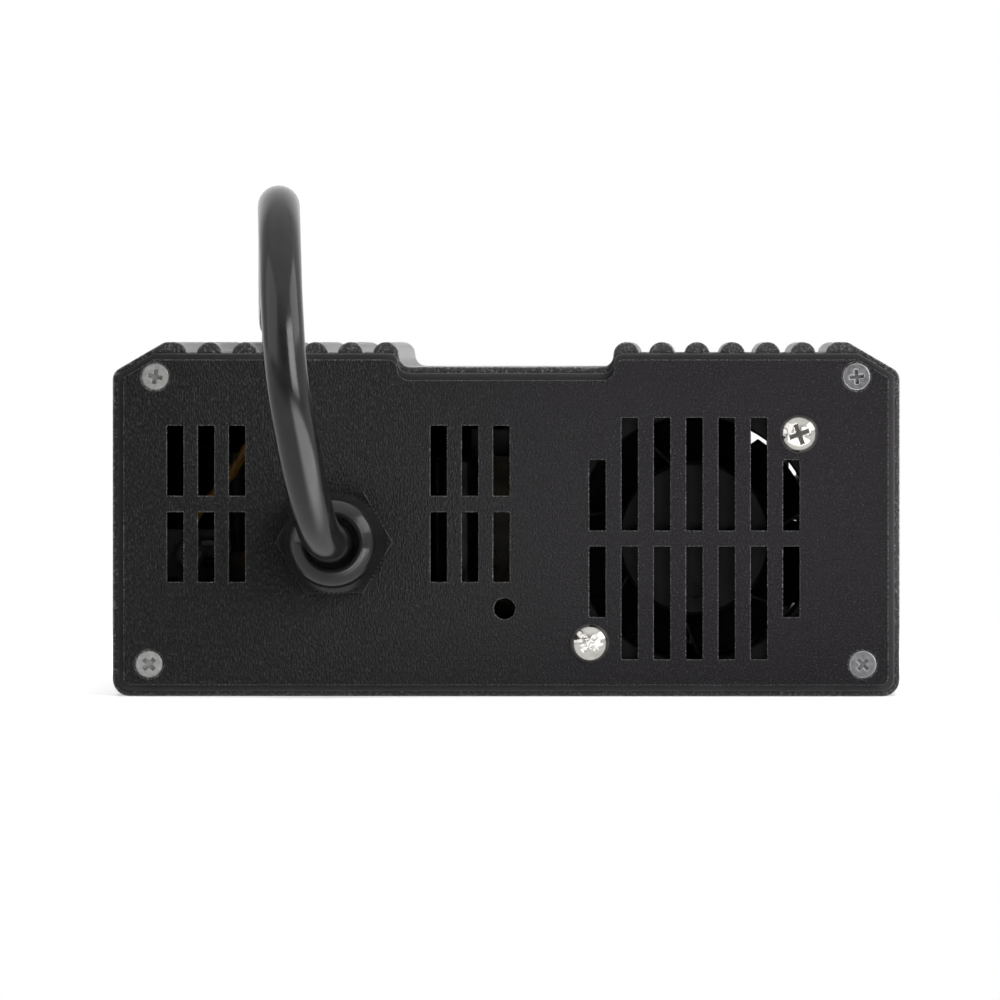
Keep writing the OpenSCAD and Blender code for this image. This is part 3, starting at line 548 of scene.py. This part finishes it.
def axes(tree, source):
    """The X, Y and Z outputs of a vector."""
    node = tree.nodes.new("ShaderNodeSeparateXYZ")
    tree.links.new(source, node.inputs[0])
    return node.outputs


def glowing(tree, kind, strength):
    """A Background or Emission node of one strength, which is a number or a socket."""
    node = tree.nodes.new(kind)
    node.inputs["Color"].default_value = WHITE
    if isinstance(strength, (int, float)):
        node.inputs["Strength"].default_value = strength
    else:
        tree.links.new(strength, node.inputs["Strength"])
    return node.outputs[0]


# The room: white behind and above the object, a paler wall at its left, dim behind the camera, and
# for reflections a wall at its right. Where it is seen itself it is white.
world = bpy.data.worlds.new("studio")
scene.world = world
world.use_nodes = True
tree = world.node_tree
tree.nodes.clear()
toward = axes(tree, tree.nodes.new("ShaderNodeTexCoord").outputs["Generated"])
level = ramped(tree, toward["X"], -0.25, -0.55, 0.14, 0.55)
for axis, low_at, high_at, top in (("X", 0.5, 0.9, 0.25), ("Y", 0.3, 0.9, 1.0),
                                   ("Z", 0.3, 0.9, 0.8)):
    level = joined(tree, "MAXIMUM", level, ramped(tree, toward[axis], low_at, high_at, 0.0, top))
right_wall = ramped(tree, toward["X"], 0.1, 0.6, 0.0, 0.7)
right_wall = joined(tree, "MULTIPLY", ray_share(tree, "Is Glossy Ray"), right_wall)
room = glowing(tree, "ShaderNodeBackground", joined(tree, "MAXIMUM", level, right_wall))
white = glowing(tree, "ShaderNodeBackground", 1.0)
world_out = tree.nodes.new("ShaderNodeOutputWorld")
tree.links.new(chosen(tree, ray_share(tree, "Is Camera Ray", "Is Transmission Ray"), room, white),
               world_out.inputs[0])

# The floor takes the object's shadow and fades into the white background away from it. Reflections
# see a floor that is dimmer in front, with a bright patch that puts the highlight on the lead.
FLOOR_GREY = (0.8, 0.8, 0.8, 1)
FLOOR_SIDE = 40
FLOOR_GLOW = 0.3
PATCH_GLOW = 3.2

floor_material = bpy.data.materials.new("pale_floor")
floor_material.use_nodes = True
tree = floor_material.node_tree
tree.nodes.clear()
place = tree.nodes.new("ShaderNodeNewGeometry").outputs["Position"]
spot = axes(tree, place)

diffuse = tree.nodes.new("ShaderNodeBsdfDiffuse")
diffuse.inputs["Color"].default_value = FLOOR_GREY
lit = tree.nodes.new("ShaderNodeAddShader")
tree.links.new(diffuse.outputs[0], lit.inputs[0])
tree.links.new(glowing(tree, "ShaderNodeEmission", FLOOR_GLOW), lit.inputs[1])
reach = tree.nodes.new("ShaderNodeVectorMath")
reach.operation = "LENGTH"
tree.links.new(place, reach.inputs[0])
fade = ramped(tree, reach.outputs["Value"], 0.3, 0.85, 0.0, 1.0)
seen = chosen(tree, fade, lit.outputs[0], glowing(tree, "ShaderNodeEmission", 1.0))

base = joined(tree, "MULTIPLY", ramped(tree, spot["Y"], 0.15, 0.6, 0.72, 1.0),
              ramped(tree, spot["Y"], -0.6, -0.3, 0.2, 1.0))
patch = ramped(tree, spot["X"], -0.045, -0.015, 0.0, PATCH_GLOW)
for axis, dark_at, bright_at in (("X", 0.2, 0.13), ("Y", -0.62, -0.34), ("Y", -0.13, -0.18)):
    edge = ramped(tree, spot[axis], dark_at, bright_at, 0.0, 1.0)
    patch = joined(tree, "MULTIPLY", patch, edge)
mirrored = glowing(tree, "ShaderNodeEmission", joined(tree, "ADD", base, patch))

camera_share = ray_share(tree, "Is Camera Ray", "Is Transmission Ray")
shown = chosen(tree, camera_share, diffuse.outputs[0], seen)
floor_out = tree.nodes.new("ShaderNodeOutputMaterial")
tree.links.new(chosen(tree, ray_share(tree, "Is Glossy Ray"), shown, mirrored),
               floor_out.inputs[0])

bpy.ops.mesh.primitive_plane_add(size=1, location=(0, 0, 0))
floor = bpy.context.object
floor.name = "floor"
floor.scale = (FLOOR_SIDE, FLOOR_SIDE, 1)
floor.data.materials.append(floor_material)

CASE_MIDDLE = Vector((0, 0, 0.04))


def lamp(name, at, size, power):
    """A rectangular soft lamp at a point, turned to face the middle of the case."""
    data = bpy.data.lights.new(name, "AREA")
    data.shape = "RECTANGLE"
    data.size, data.size_y = size
    data.energy = power
    made = bpy.data.objects.new(name, data)
    scene.collection.objects.link(made)
    made.location = at
    made.rotation_euler = (CASE_MIDDLE - Vector(at)).to_track_quat("-Z", "Y").to_euler()
    return made


lamp("key_right", at=(1.35, -1.85, 0.55), size=(1.3, 1.7), power=36)
lamp("wall_left", at=(-2.3, -1.0, 1.2), size=(3.0, 2.4), power=17)
lamp("window_right", at=(1.65, -0.3, 1.05), size=(1.5, 1.0), power=9)
lamp("top", at=(0.1, 0.3, 1.9), size=(1.6, 1.6), power=30).visible_glossy = False
